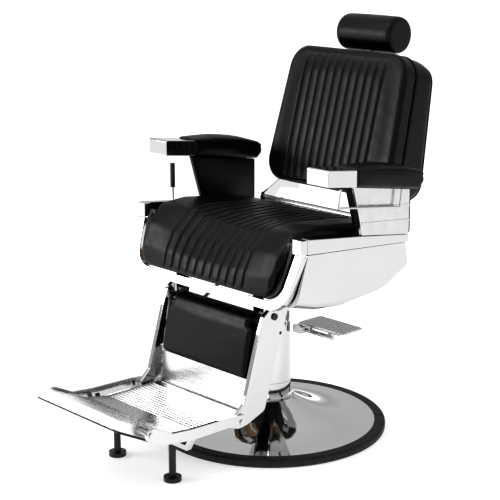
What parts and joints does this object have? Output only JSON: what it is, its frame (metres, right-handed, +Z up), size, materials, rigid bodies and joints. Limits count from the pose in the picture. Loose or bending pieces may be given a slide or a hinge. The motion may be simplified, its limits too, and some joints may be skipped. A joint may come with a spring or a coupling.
{
  "type": "barber chair",
  "caption": "Hydraulic barber chair with a chrome disc base, reclining back, roll headrest, padded arms, linked leg rest and flip-over foot plate.",
  "frame": {"origin": "centre of the base on the floor, on the column's axis", "axes": "+Z up along the column; -Y the way the sitter faces, towards the foot plate; +X the sitter's left"},
  "size_m": [0.748, 1.2331, 1.208],
  "materials": {
    "chrome": "polished",
    "cast_silver": "satin cast",
    "brushed_metal": "brushed",
    "steel": "ground",
    "bronze": "machined",
    "black_iron": "painted casting",
    "black_paint": "satin",
    "black_vinyl": "soft sheen vinyl",
    "black_rubber": "matt",
    "black_plastic": "matt",
    "plywood": "plain"
  },
  "bodies": {
    "base": {"base_ring": "black_rubber", "base_dish": "chrome", "base_plate": "black_iron", "column_collar": "chrome", "lower_sleeve": "chrome", "cylinder_tube": "steel", "guide_bush": "bronze", "base_bolts": "steel"},
    "lift": {"lift_ram": "steel", "ram_piston": "steel", "piston_seal": "black_rubber", "swivel_washer": "bronze"},
    "seat": {"upper_sleeve": "chrome", "swivel_hub": "black_paint", "seat_plate": "black_paint", "under_rails": "black_paint", "cross_rails": "black_paint", "seat_board": "plywood", "seat_cushion": "black_vinyl", "side_panel_left": "chrome", "side_panel_right": "chrome", "side_rails": "chrome", "front_band": "chrome", "corner_caps": "chrome", "arm_supports": "cast_silver", "arm_caps": "chrome", "arm_panels": "black_vinyl", "arm_pad_left": "black_vinyl", "arm_pad_right": "black_vinyl", "towel_bar": "chrome", "pedal_bracket": "chrome", "lever_boss": "chrome", "pivot_plates": "black_paint", "leg_hangers": "chrome"},
    "pedal": {"pedal_arm": "chrome", "pedal_tread": "cast_silver"},
    "lever": {"lever_rod": "chrome", "lever_grip": "black_plastic"},
    "back": {"back_shaft": "steel", "back_brackets": "chrome", "back_cushion": "black_vinyl", "back_shell": "black_vinyl", "headrest_socket": "chrome"},
    "headrest": {"headrest_post": "black_paint", "headrest_axle": "steel"},
    "roll": {"headrest_roll": "black_vinyl"},
    "link": {"recline_links": "steel"},
    "leg": {"leg_arms": "chrome", "leg_pad": "black_vinyl", "leg_panel": "brushed_metal", "leg_frame": "black_paint", "foot_pins": "chrome", "leg_pins": "black_paint"},
    "foot": {"foot_arms": "chrome", "kick_bar": "chrome", "kick_posts": "black_paint", "kick_feet": "black_paint"},
    "plate": {"foot_plate": "cast_silver", "flip_pins": "chrome", "plate_pad": "black_vinyl"}
  },
  "joints": [
    {"name": "lift", "type": "slide", "parent": "base", "child": "lift", "axis": [0, 0, 1], "range_m": [0, 0.15]},
    {"name": "swivel", "type": "hinge", "parent": "lift", "child": "seat", "pos_m": [0, 0, 0.436], "axis": [0, 0, 1], "continuous": true},
    {"name": "pedal_press", "type": "hinge", "parent": "seat", "child": "pedal", "pos_m": [0.084, 0.058, 0.306], "axis": [0, 1, 0], "range_deg": [0, 18], "stiffness_Nm_per_rad": 12, "springref_deg": -28.65},
    {"name": "lever_pull", "type": "hinge", "parent": "seat", "child": "lever", "pos_m": [-0.3546, -0.074, 0.602], "axis": [1, 0, 0], "range_deg": [0, 20], "stiffness_Nm_per_rad": 2, "springref_deg": -22.92},
    {"name": "back_recline", "type": "hinge", "parent": "seat", "child": "back", "pos_m": [0, 0.205, 0.637], "axis": [-1, 0, 0], "range_deg": [0, 45]},
    {"name": "leg_raise", "type": "hinge", "parent": "seat", "child": "leg", "pos_m": [0, -0.19, 0.425], "axis": [-1, 0, 0], "range_deg": [0, 45]},
    {"name": "link_swing", "type": "hinge", "parent": "back", "child": "link", "pos_m": [0, 0.229, 0.585], "axis": [-1, 0, 0], "range_deg": [-45, 0]},
    {"name": "headrest_slide", "type": "slide", "parent": "back", "child": "headrest", "axis": [0, 0.2639, 0.9646], "range_m": [0, 0.08]},
    {"name": "headrest_tilt", "type": "hinge", "parent": "headrest", "child": "roll", "pos_m": [0, 0.43712, 1.152], "axis": [1, 0, 0], "range_deg": [-12, 12]},
    {"name": "foot_fold", "type": "hinge", "parent": "leg", "child": "foot", "pos_m": [0, -0.323, 0.152], "axis": [-1, 0, 0], "range_deg": [0, 35]},
    {"name": "plate_flip", "type": "hinge", "parent": "foot", "child": "plate", "pos_m": [0, -0.6435, 0.2017], "axis": [1, 0, 0], "range_deg": [0, 175]}
  ],
  "couplings": [
    {"joint": "leg_raise", "follows": "back_recline", "ratio": 1},
    {"joint": "link_swing", "follows": "back_recline", "ratio": -1}
  ]
}
